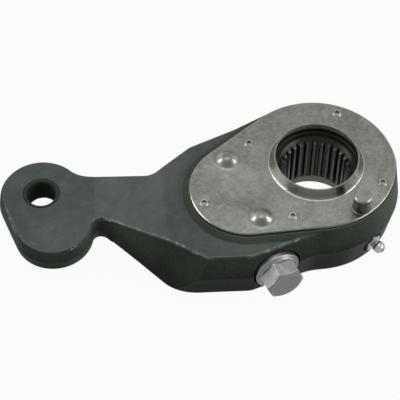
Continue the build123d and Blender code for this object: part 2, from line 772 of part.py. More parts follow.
hex_envelope = [
    (0, HEX_START),
    (hex_corner_r, HEX_START),
    (hex_corner_r, hex_shoulder),
    (HEX_FACE_R, HEX_END),
    (0, HEX_END),
]

hex_cone = turned(Plane.XY, hex_envelope)
turned_shaft = turned(Plane.XY, shaft_outline)

with BuildPart() as hexagon:
    with BuildSketch(Plane.XY.offset(HEX_START)):
        RegularPolygon(HEX_ACROSS_FLATS / 2, 6, major_radius=False, rotation=-HEX_TURN)
    extrude(amount=HEX_LENGTH)
    add(hex_cone, mode=Mode.INTERSECT)

with BuildPart() as shaft_blank:
    add(turned_shaft)
    add(hexagon.part)
    for journal_r, place in ((JOURNAL_R, DOME_V), (SHAFT_R, -DOME_V)):
        with BuildSketch(Plane.XY.offset(place - FLUTE_LENGTH / 2)):
            with PolarLocations(journal_r - FLUTE_DEPTH + FLUTE_R, FLUTES, start_angle=90):
                Circle(FLUTE_R)
        extrude(amount=FLUTE_LENGTH, mode=Mode.SUBTRACT)
    with Locations((0, key_middle, 0)):
        Box(
            KEY_WIDTH + 2 * PRESS_LINE,
            KEY_HEIGHT + 2 * PRESS_LINE,
            KEY_LENGTH + 2 * PRESS_LINE,
            mode=Mode.SUBTRACT,
        )

with BuildPart() as worm_shaft:
    with Locations(WORM.location):
        add(shaft_blank.part)

with BuildPart() as worm_key:
    with Locations(WORM.location):
        with Locations((0, key_middle, 0)):
            Box(KEY_WIDTH, KEY_HEIGHT, KEY_LENGTH)

# Circlip against the bush, and the ring that keeps grease in at the hex end
with BuildPart() as clip_blank:
    with BuildSketch(Plane.XY.offset(-CIRCLIP_BACK)):
        Circle(CIRCLIP_R)
        Circle(CIRCLIP_SEAT + SEAT_GAP, mode=Mode.SUBTRACT)
        with Locations((0, -CIRCLIP_R)):
            Rectangle(CIRCLIP_GAP, CIRCLIP_R, mode=Mode.SUBTRACT)
    extrude(amount=CIRCLIP_THICKNESS)

with BuildPart() as shaft_circlip:
    with Locations(WORM.location):
        add(clip_blank.part)

o_ring_bottom = O_RING_V - O_RING_SECTION / 2
rubber_ring = ring(WORM, o_ring_r, o_ring_bottom, O_RING_SECTION, O_RING_SECTION)
with BuildPart() as shaft_o_ring:
    add(rubber_ring)

# Bush that carries the shaft's far journal, and the cup plug outside it
bush_blank = turned(
    WORM,
    [
        (SHAFT_R + RUNNING, -BUSH_END),
        (WORM_BORE_R - PRESS_LINE, -BUSH_END),
        (WORM_BORE_R - PRESS_LINE, -WORM_CHAMBER_HALF),
        (SHAFT_R + RUNNING, -WORM_CHAMBER_HALF),
    ],
)
with BuildPart() as end_bush:
    add(bush_blank)
    with BuildSketch():
        with Locations(DETENT_POINTS[1]):
            Circle(BALL_HOLE_R)
    extrude(amount=2 * WORM_BORE_R, mode=Mode.SUBTRACT)

plug_face = FAR_SIDE - PLUG_DEPTH
plug_outer_r = WORM_BORE_R - PRESS_LINE
plug_cup = turned(
    WORM,
    [
        (0, -plug_face),
        (plug_outer_r, -plug_face),
        (plug_outer_r, PLUG_LENGTH - plug_face),
        (plug_outer_r - PLUG_SHEET, PLUG_LENGTH - plug_face),
        (plug_outer_r - PLUG_SHEET, PLUG_SHEET - plug_face),
        (0, PLUG_SHEET - plug_face),
    ],
)
with BuildPart() as end_plug:
    add(plug_cup)

# Sprung balls that click into the flutes
with BuildPart() as near_detent_ball:
    with Locations((*DETENT_POINTS[0], NEAR_BALL_Z)):
        Sphere(BALL_R)

with BuildPart() as far_detent_ball:
    with Locations((*DETENT_POINTS[1], FAR_BALL_Z)):
        Sphere(BALL_R)

near_coil, far_coil = [
    coil(
        Plane((*point, 0)),
        SPRING_R,
        SPRING_WIRE_R,
        ball_z + SPRING_RISE,
        SPRING_TOP,
        SPRING_TURNS,
    )
    for point, ball_z in zip(DETENT_POINTS, (NEAR_BALL_Z, FAR_BALL_Z))
]
with BuildPart() as near_detent_spring:
    add(near_coil)

with BuildPart() as far_detent_spring:
    add(far_coil)

# Grease nipple with its check ball and spring
nipple_tip = NIPPLE_HEAD_OUT + sqrt(NIPPLE_HEAD_R**2 - NIPPLE_TIP_R**2)
nipple_neck_end = NIPPLE_HEAD_OUT - sqrt(NIPPLE_HEAD_R**2 - NIPPLE_NECK_R**2)
nipple_lip = nipple_tip - NIPPLE_MOUTH_DEPTH
nipple_ball_out = nipple_lip - sqrt(NIPPLE_BALL_R**2 - NIPPLE_MOUTH_R**2) - SEAT_GAP
nipple_corner_r = NIPPLE_HEX / sqrt(3)
nipple_shoulder = NIPPLE_HEX_LENGTH - (nipple_corner_r - NIPPLE_FACE_R) * tan(radians(HEX_CHAMFER))

with BuildPart() as nipple_body:
    with BuildSketch(Plane.XZ):
        with BuildLine():
            Polyline(
                (NIPPLE_DRILL_R, -NIPPLE_THREAD),
                (NIPPLE_THREAD_R, -NIPPLE_THREAD),
                (NIPPLE_THREAD_R, NIPPLE_HEX_LENGTH),
                (NIPPLE_NECK_R, NIPPLE_HEX_LENGTH + SEAT_GAP),
                (NIPPLE_NECK_R, nipple_neck_end),
            )
            RadiusArc((NIPPLE_NECK_R, nipple_neck_end), (NIPPLE_HEAD_R, NIPPLE_HEAD_OUT), -NIPPLE_HEAD_R)
            RadiusArc((NIPPLE_HEAD_R, NIPPLE_HEAD_OUT), (NIPPLE_TIP_R, nipple_tip), -NIPPLE_HEAD_R)
            Polyline(
                (NIPPLE_TIP_R, nipple_tip),
                (NIPPLE_MOUTH_R, nipple_tip),
                (NIPPLE_MOUTH_R, nipple_lip),
                (NIPPLE_BORE_R, nipple_lip),
                (NIPPLE_BORE_R, NIPPLE_SPRING_SEAT),
                (NIPPLE_DRILL_R, NIPPLE_SPRING_SEAT),
                (NIPPLE_DRILL_R, -NIPPLE_THREAD),
            )
        make_face()
    revolve(axis=Axis.Z)

nipple_cone = turned(
    Plane.XY,
    [
        (0, 0),
        (nipple_corner_r, 0),
        (nipple_corner_r, nipple_shoulder),
        (NIPPLE_FACE_R, NIPPLE_HEX_LENGTH),
        (0, NIPPLE_HEX_LENGTH),
    ],
)
with BuildPart() as nipple_hexagon:
    with BuildSketch():
        RegularPolygon(NIPPLE_HEX / 2, 6, major_radius=False)
        Circle(NIPPLE_THREAD_R / 2 + NIPPLE_NECK_R / 2, mode=Mode.SUBTRACT)
    extrude(amount=NIPPLE_HEX_LENGTH)
    add(nipple_cone, mode=Mode.INTERSECT)

with BuildPart() as grease_nipple:
    with Locations(NIPPLE.location):
        add(nipple_body.part)
        add(nipple_hexagon.part)

with BuildPart() as nipple_ball:
    with Locations(NIPPLE.offset(nipple_ball_out).location):
        Sphere(NIPPLE_BALL_R)

nipple_spring_start = NIPPLE_SPRING_SEAT + NIPPLE_SPRING_WIRE_R + SEAT_GAP
nipple_spring_reach = NIPPLE_BALL_R + NIPPLE_SPRING_WIRE_R + SEAT_GAP
nipple_spring_end = nipple_ball_out - sqrt(nipple_spring_reach**2 - NIPPLE_SPRING_R**2)
nipple_coil = coil(
    NIPPLE,
    NIPPLE_SPRING_R,
    NIPPLE_SPRING_WIRE_R,
    nipple_spring_start,
    nipple_spring_end,
    NIPPLE_SPRING_TURNS,
)
with BuildPart() as nipple_spring:
    add(nipple_coil)

pieces = {
    "housing": housing,
    "clevis_bush": clevis_bush,
    "upper_cover": upper_cover,
    "lower_cover": lower_cover,
    "upper_gasket": upper_gasket,
    "lower_gasket": lower_gasket,
    "cover_rivets": cover_rivets,
    "guide_stud": guide_stud,
    "upper_seal_ring": upper_seal_ring,
    "lower_seal_ring": lower_seal_ring,
    "worm_wheel": worm_wheel,
    "worm": worm,
    "worm_shaft": worm_shaft,
    "worm_key": worm_key,
    "shaft_circlip": shaft_circlip,
    "shaft_o_ring": shaft_o_ring,
    "end_bush": end_bush,
    "end_plug": end_plug,
    "near_detent_ball": near_detent_ball,
    "far_detent_ball": far_detent_ball,
    "near_detent_spring": near_detent_spring,
    "far_detent_spring": far_detent_spring,
    "grease_nipple": grease_nipple,
    "nipple_ball": nipple_ball,
    "nipple_spring": nipple_spring,
}
for name, piece in pieces.items():
    piece.part.label = name
    export_step(piece.part, f"parts/{name}.step")
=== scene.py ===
"""Looks of a manual brake slack adjuster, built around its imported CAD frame."""

import json
import logging
from dataclasses import dataclass
from enum import Enum
from math import atan2, cos, hypot, pi, radians, sin, tan
from typing import Sequence, Union

import bmesh
import bpy
from mathutils import Matrix, Vector


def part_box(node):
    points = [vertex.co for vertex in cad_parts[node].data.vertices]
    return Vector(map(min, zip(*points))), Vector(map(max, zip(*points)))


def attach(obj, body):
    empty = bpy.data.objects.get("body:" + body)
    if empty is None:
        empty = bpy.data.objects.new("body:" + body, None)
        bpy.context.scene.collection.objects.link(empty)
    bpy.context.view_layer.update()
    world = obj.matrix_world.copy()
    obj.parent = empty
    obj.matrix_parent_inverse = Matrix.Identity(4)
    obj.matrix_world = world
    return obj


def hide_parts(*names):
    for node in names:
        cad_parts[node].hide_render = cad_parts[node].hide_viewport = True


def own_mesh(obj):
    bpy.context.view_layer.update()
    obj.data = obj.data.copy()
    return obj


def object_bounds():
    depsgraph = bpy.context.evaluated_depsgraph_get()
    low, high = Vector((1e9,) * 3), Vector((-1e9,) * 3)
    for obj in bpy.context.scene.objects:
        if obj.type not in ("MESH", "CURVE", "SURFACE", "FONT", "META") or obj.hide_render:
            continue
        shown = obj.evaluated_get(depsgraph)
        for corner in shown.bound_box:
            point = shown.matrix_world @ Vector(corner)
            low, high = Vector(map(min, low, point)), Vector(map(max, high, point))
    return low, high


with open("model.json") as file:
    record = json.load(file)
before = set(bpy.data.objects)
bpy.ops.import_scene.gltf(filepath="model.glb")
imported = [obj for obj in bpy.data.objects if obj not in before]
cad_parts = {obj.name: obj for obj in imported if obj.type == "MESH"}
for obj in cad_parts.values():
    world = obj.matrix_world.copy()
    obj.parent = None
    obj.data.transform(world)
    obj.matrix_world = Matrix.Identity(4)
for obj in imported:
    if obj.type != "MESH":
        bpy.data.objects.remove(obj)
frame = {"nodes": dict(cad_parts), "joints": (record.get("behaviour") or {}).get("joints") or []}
cad_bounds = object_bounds()

LOG = logging.getLogger("slack_adjuster")
MM = 0.001
MIDDLE = 0.5
WHITE = (1.0, 1.0, 1.0)

Colour = tuple[float, float, float]
Place = tuple[float, float, float]
# Where something starts to count and where it counts fully
Ramp = tuple[float, float]
# What a mask or noise gives at 0 and at 1
Range = tuple[float, float]
Socket = bpy.types.NodeSocket
Number = Union[float, "Value"]
Paint = Union[Colour, Socket]


class Value:
    """A numeric socket that takes part in Python expressions."""

    def __init__(self, graph: "Graph", socket: Socket) -> None:
        """Wrap a socket of a graph.

        Args:
            graph: The graph, which makes the Math nodes.
            socket: The output socket that carries the number.
        """
        self.graph = graph
        self.socket = socket

    def __add__(self, other: Number) -> "Value":
        """Sum."""
        return self.graph.maths("ADD", self, other)

    __radd__ = __add__

    def __sub__(self, other: Number) -> "Value":
        """Difference."""
        return self.graph.maths("SUBTRACT", self, other)

    def __rsub__(self, other: Number) -> "Value":
        """Difference with the socket on the right."""
        return self.graph.maths("SUBTRACT", other, self)

    def __mul__(self, other: Number) -> "Value":
        """Product."""
        return self.graph.maths("MULTIPLY", self, other)

    __rmul__ = __mul__

    def above(self, low: float, high: float) -> "Value":
        """Ramp from 0 at low to 1 at high, smooth at both ends.

        Args:
            low: Where the ramp starts.
            high: Where it ends. It may be less than low, for a falling ramp.

        Returns:
            The ramp, between 0 and 1.
        """
        return self.graph.ramp(self, low, high)

    def between(self, low: float, high: float) -> "Value":
        """Map 0 to low and 1 to high, in a straight line."""
        return low + (high - low) * self

    def swing(self, amount: float) -> "Value":
        """How far the number lies from its middle, times an amount."""
        return (self - MIDDLE) * amount


class Graph:
    """The node tree of a material or of the world."""

    edge_samples: int = 6
    edge_turn: Ramp = (0.995, 0.90)

    def __init__(self, owner: bpy.types.Material | bpy.types.World) -> None:
        """Start with an empty tree.

        Args:
            owner: The material or world that the tree belongs to.
        """
        owner.use_nodes = True
        self.owner = owner
        self.tree = owner.node_tree
        self.tree.nodes.clear()

    def node(
        self,
        kind: str,
        settings: dict[str, object] | None = None,
        inputs: dict[str | int, object] | None = None,
    ) -> bpy.types.Node:
        """Add one node.

        Args:
            kind: The node's type.
            settings: Properties of the node, set before its sockets.
            inputs: Values or links of its sockets, by name or number.

        Returns:
            The new node.
        """
        made = self.tree.nodes.new(kind)
        for key, value in (settings or {}).items():
            setattr(made, key, value)
        for key, value in (inputs or {}).items():
            self.feed(made.inputs[key], value)
        return made

    def feed(self, socket: Socket, value: object) -> None:
        """Link a value to a socket, or set it there if it is a constant.

        Args:
            socket: The input socket.
            value: A value, another socket, or the constant.
        """
        if isinstance(value, Value):
            value = value.socket
        if isinstance(value, Socket):
            self.tree.links.new(value, socket)
        else:
            socket.default_value = value

    def maths(self, operation: str, first: Number, second: Number) -> Value:
        """Add one Math node.

        Args:
            operation: The node's operation.
            first: Its first number.
            second: Its second number.

        Returns:
            The result.
        """
        made = self.node("ShaderNodeMath", {"operation": operation}, {0: first, 1: second})
        return Value(self, made.outputs[0])

    def largest(self, first: Number, *others: Number) -> Value:
        """The largest of some numbers.

        Args:
            first: The first number.
            others: The other numbers.

        Returns:
            The largest.
        """
        for other in others:
            first = self.maths("MAXIMUM", first, other)
        return first

    def ramp(self, value: Value, low: float, high: float) -> Value:
        """Map a number smoothly from between low and high to between 0 and 1.

        Args:
            value: The number.
            low: What becomes 0.
            high: What becomes 1.

        Returns:
            The mapped number.
        """
        made = self.node(
            "ShaderNodeMapRange",
            {"interpolation_type": "SMOOTHSTEP", "clamp": True},
            {"Value": value, "From Min": low, "From Max": high},
        )
        return Value(self, made.outputs["Result"])

    def blend(self, factor: Number, first: Paint, second: Paint) -> Socket:
        """Mix two colours.

        Args:
            factor: How much of the second there is.
            first: The colour at 0.
            second: The colour at 1.

        Returns:
            The mixed colour's socket.
        """
        # The Mix node's colours are its inputs 6 and 7 and its output 2
        made = self.node(
            "ShaderNodeMix", {"data_type": "RGBA"}, {0: factor, 6: rgba(first), 7: rgba(second)}
        )
        return made.outputs[2]

    def place(self) -> Socket:
        """The point's place in the part's frame at rest, in metres."""
        return self.node("ShaderNodeTexCoord").outputs["Object"]

    def noise(
        self,
        size: float,
        detail: float = 3.0,
        roughness: float = 0.55,
        where: Socket | None = None,
    ) -> Value:
        """Cloudy noise.

        Args:
            size: The size of its features, in metres.
            detail: Its octaves.
            roughness: How strong the finer octaves are.
            where: The coordinates, or the point's place if left out.

        Returns:
            The noise, about 0.5.
        """
        made = self.node(
            "ShaderNodeTexNoise",
            None,
            {
                "Vector": where or self.place(),
                "Scale": 1 / size,
                "Detail": detail,
                "Roughness": roughness,
            },
        )
        return Value(self, made.outputs["Fac"])

    def streaks(
        self, size: Place, turn: float = 0.0, detail: float = 3.0, roughness: float = 0.6
    ) -> Value:
        """Noise that is stretched out one way.

        Args:
            size: The size of its features along X, Y and Z before they are turned, in metres.
            turn: How far they are turned about Z, in degrees.
            detail: Its octaves.
            roughness: How strong the finer octaves are.

        Returns:
            The noise, about 0.5.
        """
        turned = self.node(
            "ShaderNodeMapping",
            {"vector_type": "TEXTURE"},
            {"Vector": self.place(), "Scale": size, "Rotation": (0.0, 0.0, radians(turn))},
        )
        return self.noise(1.0, detail, roughness, turned.outputs[0])

    def vector(self, operation: str, first: object, second: object = (0.0, 0.0, 0.0)) -> Socket:
        """One Vector Math node whose result is a vector."""
        made = self.node("ShaderNodeVectorMath", {"operation": operation}, {0: first, 1: second})
        return made.outputs["Vector"]

    def measure(self, operation: str, first: object, second: object = (0.0, 0.0, 0.0)) -> Value:
        """One Vector Math node whose result is a number."""
        made = self.node("ShaderNodeVectorMath", {"operation": operation}, {0: first, 1: second})
        return Value(self, made.outputs["Value"])

    def from_axis(self) -> Value:
        """The point's distance from the camshaft's axis, in metres."""
        return self.measure("LENGTH", self.vector("MULTIPLY", self.place(), (1.0, 1.0, 0.0)))

    def axis(self, vector: Socket, name: str) -> Value:
        """One component of a vector, by the name X, Y or Z."""
        made = self.node("ShaderNodeSeparateXYZ", None, {0: vector})
        return Value(self, made.outputs[name])

    def normal(self) -> Socket:
        """The surface's own normal."""
        return self.node("ShaderNodeNewGeometry").outputs["Normal"]

    def facing(self, name: str) -> Value:
        """How far the surface faces along X, Y or Z, from -1 to 1."""
        return self.axis(self.normal(), name)

    def near_edge(self, radius: float) -> Value:
        """How near an edge is.

        Args:
            radius: How far from the edge it is felt, in metres.

        Returns:
            1 on the edge and 0 away from it.
        """
        rounded = self.node("ShaderNodeBevel", {"samples": self.edge_samples}, {"Radius": radius})
        turned = self.measure("DOT_PRODUCT", rounded.outputs["Normal"], self.normal())
        return turned.above(*self.edge_turn)

    def seen(self) -> Value:
        """Tell the rays that show something from those that only light it.

        Returns:
            1 for a ray from the camera, off a gloss or through glass, and 0 for any other.
        """
        path = self.node("ShaderNodeLightPath")
        rays = ("Is Camera Ray", "Is Glossy Ray", "Is Transmission Ray")
        return self.largest(*(Value(self, path.outputs[ray]) for ray in rays))

    def bump(self, height: Number, depth: float, normal: Socket | None = None) -> Socket:
        """Relief from a height.

        Args:
            height: The height, from 0 to 1.
            depth: What 1 stands for, in metres.
            normal: A normal to start from.

        Returns:
            The new normal.
        """
        sockets = {"Height": height, "Distance": depth, "Strength": 1.0}
        if normal is not None:
            sockets["Normal"] = normal
        return self.node("ShaderNodeBump", None, sockets).outputs["Normal"]


class MaterialGraph(Graph):
    """The node tree of a new material."""

    def __init__(self, name: str) -> None:
        """Make the material.

        Args:
            name: The material's name.
        """
        super().__init__(bpy.data.materials.new(name))

    def show(self, surface: Socket) -> bpy.types.Material:
        """Close the graph.

        Args:
            surface: The shader that the material shows.

        Returns:
            The finished material.
        """
        self.node("ShaderNodeOutputMaterial", None, {"Surface": surface})
        return self.owner

    def finish(self, **sockets: object) -> bpy.types.Material:
        """Close the graph with one Principled shader.

        Args:
            sockets: Its sockets by name, with underscores for spaces.

        Returns:
            The finished material.
        """
        shader = self.node("ShaderNodeBsdfPrincipled")
        for name, value in sockets.items():
            self.feed(shader.inputs[name.replace("_", " ")], value)
        return self.show(shader.outputs["BSDF"])


def rgba(colour: Paint) -> tuple[float, ...] | Socket:
    """Give a plain colour its alpha.

    Args:
        colour: A colour, or a socket that carries one.

    Returns:
        The colour with its alpha, or the same socket.
    """
    if isinstance(colour, tuple):
        return (*colour, 1.0)
    return colour


def frame_joint(name: str) -> dict[str, object]:
    """The frame's joint of that name."""
    return next(joint for joint in frame["joints"] if joint["name"] == name)


class Wear(Enum):
    """How much the handling of a piece has rubbed its finish, and on plated steel how strong its
    painted edge highlight is.
    """

    NEW = 0.0
    HANDLED = 0.5
    RUBBED = 1.0


@dataclass(frozen=True)
class WornEdge:
    """A straight stretch of an edge that handling has rubbed, in millimetres."""

    start: Place
    end: Place
    width: float
    fade: float = 4.0
    core_share: float = 0.2

    def nearness(self, g: Graph) -> Value:
        """How near a point is to the edge.

        Args:
            g: The graph of the material that is rubbed.

        Returns:
            1 on the edge and 0 outside its width.
        """
        start = Vector(self.start) * MM
        run = Vector(self.end) * MM - start
        length = run.length
        along = tuple(run / length)
        offset = g.vector("SUBTRACT", g.place(), tuple(start))
        lying = g.measure("DOT_PRODUCT", offset, along)
        beside = g.measure("LENGTH", g.vector("CROSS_PRODUCT", offset, along))
        fade = self.fade * MM
        width = self.width * MM
        within = lying.above(-fade, 0.0) * lying.above(length + fade, length)
        return beside.above(width, self.core_share * width) * within


@dataclass(frozen=True)
class ForgedPaint:
    """Thin dark paint over a shot-blasted forging, rubbed through along its edges; its tops are
    dirtier and painted lighter, its sides painted darker, more so low down, with a painted sheen where
    they turn to the right.
    """

    name: str = "forged_paint"
    shade: Colour = (0.0050, 0.0085, 0.0044)
    colour: Colour = (0.044, 0.057, 0.041)
    dust_and_light: Colour = (0.074, 0.087, 0.077)
    pale_and_lit: Colour = (0.142, 0.155, 0.145)
    bare: Colour = (0.29, 0.31, 0.29)
    cloud_size: float = 30 * MM
    wave_size: float = 9 * MM
    patch_size: float = 6 * MM
    scuff_size: float = 3.5 * MM
    pit_size: float = 2.2 * MM
    grain_size: float = 0.8 * MM
    wave_depth: float = 0.22 * MM
    pit_depth: float = 0.09 * MM
    edge_reach: float = 1.2 * MM
    sheen_heights: Ramp = (-20 * MM, 16 * MM)
    top_tilt: Ramp = (0.84, 0.965)
    slope_tilt: Ramp = (0.999, 0.985)
    draft_tilt: Ramp = (-0.01, -0.05)
    side_turn: Ramp = (0.34, 0.80)
    draft_turn: Ramp = (0.20, 0.40)
    wall_toning: Ramp = (0.36, 0.74)
    clouding: Ramp = (0.35, 0.70)
    speckling: Ramp = (0.46, 0.66)
    patching: Ramp = (0.43, 0.62)
    scuffing: Ramp = (0.62, 0.73)
    top_share: Range = (0.72, 1.0)
    edge_rub: Range = (0.12, 0.92)
    arris_rub: Range = (0.05, 0.30)
    side_sheen: float = 0.45
    slope_sheen: float = 0.4
    scuffed: float = 0.3
    roughness: float = 0.56
    cloud_swing: float = 0.16
    grain_swing: float = 0.10
    rubbed_gloss: float = 0.14
    rubbed_metal: float = 0.6
    specular: float = 0.05
    wear: Wear = Wear.HANDLED

    def material(self, edges: Sequence[WornEdge]) -> bpy.types.Material:
        """Make the material.

        Args:
            edges: The edges where the paint is rubbed through.

        Returns:
            The material.
        """
        g = MaterialGraph(self.name)
        cloud = g.noise(self.cloud_size, 4)
        patch = g.noise(self.patch_size, 3)
        speck = g.noise(self.grain_size, 2)
        pits = g.noise(self.pit_size, 2)
        up = g.facing("Z").above(*self.top_tilt)
        walls = self.walls(g, cloud, speck)
        tops = self.tops(g, cloud, patch)
        # Tops get a paler colour than the sides: partly dirt, partly painted light on what faces up.
        colour = g.blend(up * pits.between(*self.top_share), walls, tops)
        worn = speck.above(*self.speckling) * patch.above(*self.patching)
        reach = g.largest(*(edge.nearness(g) for edge in edges))
        rubbed = reach * worn.between(*self.edge_rub)
        rubbed = rubbed + g.near_edge(self.edge_reach) * worn.between(*self.arris_rub)
        scuffs = g.noise(self.scuff_size, 3, 0.7).above(*self.scuffing) * up * self.scuffed
        through = g.largest(rubbed, scuffs) * (2 * self.wear.value)
        colour = g.blend(through, colour, self.bare)
        normal = g.bump(g.noise(self.wave_size, 2), self.wave_depth)
        normal = g.bump(pits * 0.6 + speck * 0.4, self.pit_depth, normal)
        rough = self.roughness + cloud.swing(self.cloud_swing) + speck.swing(self.grain_swing)
        return g.finish(
            Base_Color=colour,
            Roughness=rough - rubbed * self.rubbed_gloss,
            Metallic=rubbed * self.rubbed_metal,
            Specular_IOR_Level=self.specular,
            Normal=normal,
        )

    def walls(self, g: Graph, cloud: Value, speck: Value) -> Socket:
        """Colour of the sides, with painted shade low down and a painted sheen where they turn to the
        right.

        Args:
            g: The material's graph.
            cloud: Its broad noise.
            speck: Its finest noise.

        Returns:
            The colour.
        """
        # Painted light: the sides grow lighter higher up.
        high = g.axis(g.place(), "Z").above(*self.sheen_heights)
        toned_and_lit = (cloud * 0.4 + speck * 0.35 + high * 0.25).above(*self.wall_toning)
        colour = g.blend(toned_and_lit, self.shade, self.colour)
        # Painted sheen where the sides face right, and where they face slightly down while turned
        # right.
        across = g.facing("X")
        drafted = g.facing("Z").above(*self.draft_tilt) * across.above(*self.draft_turn)
        turning = g.largest(across.above(*self.side_turn), drafted)
        return g.blend(turning * self.side_sheen, colour, self.dust_and_light)

    def tops(self, g: Graph, cloud: Value, patch: Value) -> Socket:
        """Colour of what faces up, dirty and painted lighter, with a painted highlight on its slopes.

        Args:
            g: The material's graph.
            cloud: Its broad noise.
            patch: Its middling noise.

        Returns:
            The colour.
        """
        clouded = (cloud * 0.6 + patch * 0.4).above(*self.clouding)
        # Painted highlight on tops that slope, mixed with the dirty clouds.
        slope = g.facing("Z").above(*self.slope_tilt)
        dust_and_sheen = clouded * (1 - self.slope_sheen) + slope * self.slope_sheen
        return g.blend(dust_and_sheen, self.dust_and_light, self.pale_and_lit)


@dataclass(frozen=True)
class ZincSheet:
    """Dull zinc on pressed sheet, clouded and finely scratched, with burnish and a painted highlight
    on its slopes, a painted highlight along the collar's bend, painted shade where its domes and
    collar face the front, and a paler olive tone on the collar's inner wall.
    """

    name: str = "zinc_sheet"
    colour: Colour = (0.192, 0.198, 0.180)
    dull: Colour = (0.120, 0.124, 0.112)
    front_shade: Colour = (0.112, 0.112, 0.090)
    retoned: Colour = (0.30, 0.30, 0.22)
    bright: Colour = (0.46, 0.465, 0.43)
    cloud_size: float = 16 * MM
    wave_size: float = 9 * MM
    mottle_size: float = 2.4 * MM
    fine_size: float = 0.7 * MM
    scratch_size: Place = (9 * MM, 0.75 * MM, 2.5 * MM)
    scratch_turn: float = 34.0
    crossing_size: Place = (8 * MM, 0.75 * MM, 2.5 * MM)
    crossing_turn: float = -48.0
    wave_depth: float = 0.12 * MM
    relief: float = 0.016 * MM
    collar_foot_r: float = 25.8 * MM
    collar_fade: float = 0.6 * MM
    bend_start: float = 0.9 * MM
    bend_full: float = 0.2 * MM
    scratching: Ramp = (0.58, 0.72)
    crossing: Ramp = (0.60, 0.74)
    toning: Ramp = (0.36, 0.64)
    slope_tilt: Ramp = (0.96, 0.80)
    front_turn: Ramp = (-0.25, -0.62)
    collar_turn: Ramp = (-0.48, -0.84)
    inward: Ramp = (-20 * MM, -24 * MM)
    scratched: float = 0.5
    front_share: float = 0.85
    slope_shine: Range = (0.25, 0.65)
    bend_shine: Range = (0.75, 0.20)
    roughness: float = 0.37
    tone_swing: float = 0.12
    scratch_gloss: float = 0.08
    slope_gloss: float = 0.12
    metal: Range = (0.95, 0.20)
    wear: Wear = Wear.HANDLED

    def material(self) -> bpy.types.Material:
        """Make the material.

        Returns:
            The material.
        """
        g = MaterialGraph(self.name)
        cloud = g.noise(self.cloud_size, 5, 0.65)
        mottle = g.noise(self.mottle_size, 3)
        fine = g.noise(self.fine_size, 3)
        marks = self.scratches(g)
        tone = (cloud * 0.42 + mottle * 0.33 + fine * 0.25).above(*self.toning)
        colour = g.blend(tone, self.dull, self.colour)
        colour = g.blend(marks * (self.scratched * self.wear.value), colour, self.bright)
        sloping = g.facing("Z").above(*self.slope_tilt)
        out = g.from_axis()
        collar = out.above(self.collar_foot_r + self.collar_fade, self.collar_foot_r)
        front = self.front(g, collar)
        bend = collar * out.above(
            self.collar_foot_r - self.bend_start, self.collar_foot_r - self.bend_full
        )
        # Slopes lighter, partly burnish and partly a painted highlight, except where they face the
        # front.
        shine = sloping * (1 - front) * mottle.between(*self.slope_shine)
        colour = g.blend(shine, colour, self.bright)
        # Painted shade where the domes and collar face the front.
        colour = g.blend(front * self.front_share, colour, self.front_shade)
        # Painted highlight along the collar's bend, weaker where it faces the front.
        colour = g.blend(bend * front.between(*self.bend_shine), colour, self.bright)
        # Paler olive, less metallic tone on the collar's inner wall.
        inside = g.measure("DOT_PRODUCT", g.normal(), g.place()).above(*self.inward)
        colour = g.blend(inside, colour, self.retoned)
        normal = g.bump(g.noise(self.wave_size, 2), self.wave_depth)
        normal = g.bump(mottle * 0.5 + fine * 0.3 + marks * 0.2, self.relief, normal)
        rough = self.roughness + tone.swing(self.tone_swing) - marks * self.scratch_gloss
        return g.finish(
            Base_Color=colour,
            Roughness=rough - sloping * self.slope_gloss,
            Metallic=inside.between(*self.metal),
            Normal=normal,
        )

    def scratches(self, g: Graph) -> Value:
        """Fine scratches that run two ways.

        Args:
            g: The material's graph.

        Returns:
            1 in a scratch and 0 beside it.
        """
        along = g.streaks(self.scratch_size, self.scratch_turn).above(*self.scratching)
        across = g.streaks(self.crossing_size, self.crossing_turn).above(*self.crossing)
        return g.largest(along, across)

    def front(self, g: Graph, collar: Value) -> Value:
        """Where the pressed metal faces the front and gets painted shade.

        Args:
            g: The material's graph.
            collar: 1 on the collar, which gets the painted shade over a narrower stretch than the
                domes.

        Returns:
            1 there and 0 elsewhere.
        """
        ahead = g.facing("Y")
        domes = ahead.above(*self.front_turn) * (1 - collar)
        return g.largest(domes, ahead.above(*self.collar_turn) * collar)


@dataclass(frozen=True)
class GreasedSteel:
    """Dark oily steel of the splined wheel: lands rubbed grey, darker from the roots out over the hub
    face.
    """

    name: str = "greased_steel"
    land: Colour = (0.088, 0.114, 0.082)
    flank: Colour = (0.008, 0.012, 0.007)
    hub_tone: Colour = (0.010, 0.018, 0.009)
    land_r: float = 17.5 * MM
    root_r: float = 18.9 * MM
    hub_start: float = 0.3 * MM
    hub_full: float = 0.4 * MM
    cloud_size: float = 3 * MM
    grain_size: float = 0.5 * MM
    broach_size: Place = (0.4 * MM, 0.4 * MM, 11 * MM)
    relief: float = 0.01 * MM
    land_rub: Range = (0.45, 0.95)
    hub_cover: Range = (0.86, 1.0)
    roughness: float = 0.36
    cloud_swing: float = 0.14
    hub_gloss: float = 0.1
    land_metal: float = 0.75
    specular: float = 0.15

    def material(self) -> bpy.types.Material:
        """Make the material.

        Returns:
            The material.
        """
        g = MaterialGraph(self.name)
        cloud = g.noise(self.cloud_size, 4)
        grain = g.noise(self.grain_size, 3)
        out = g.from_axis()
        broached = g.streaks(self.broach_size, 0.0, 2, 0.5)
        rubbed = out.above(self.root_r, self.land_r) * broached.between(*self.land_rub)
        colour = g.blend(rubbed, self.flank, self.land)
        # Darker from the roots out over the hub face.
        retoned = out.above(self.root_r - self.hub_start, self.root_r + self.hub_full)
        colour = g.blend(retoned * cloud.between(*self.hub_cover), colour, self.hub_tone)
        return g.finish(
            Base_Color=colour,
            Roughness=self.roughness + cloud.swing(self.cloud_swing) - retoned * self.hub_gloss,
            Metallic=rubbed * self.land_metal,
            Specular_IOR_Level=self.specular,
            Normal=g.bump(grain * 0.5 + broached * 0.5, self.relief),
        )


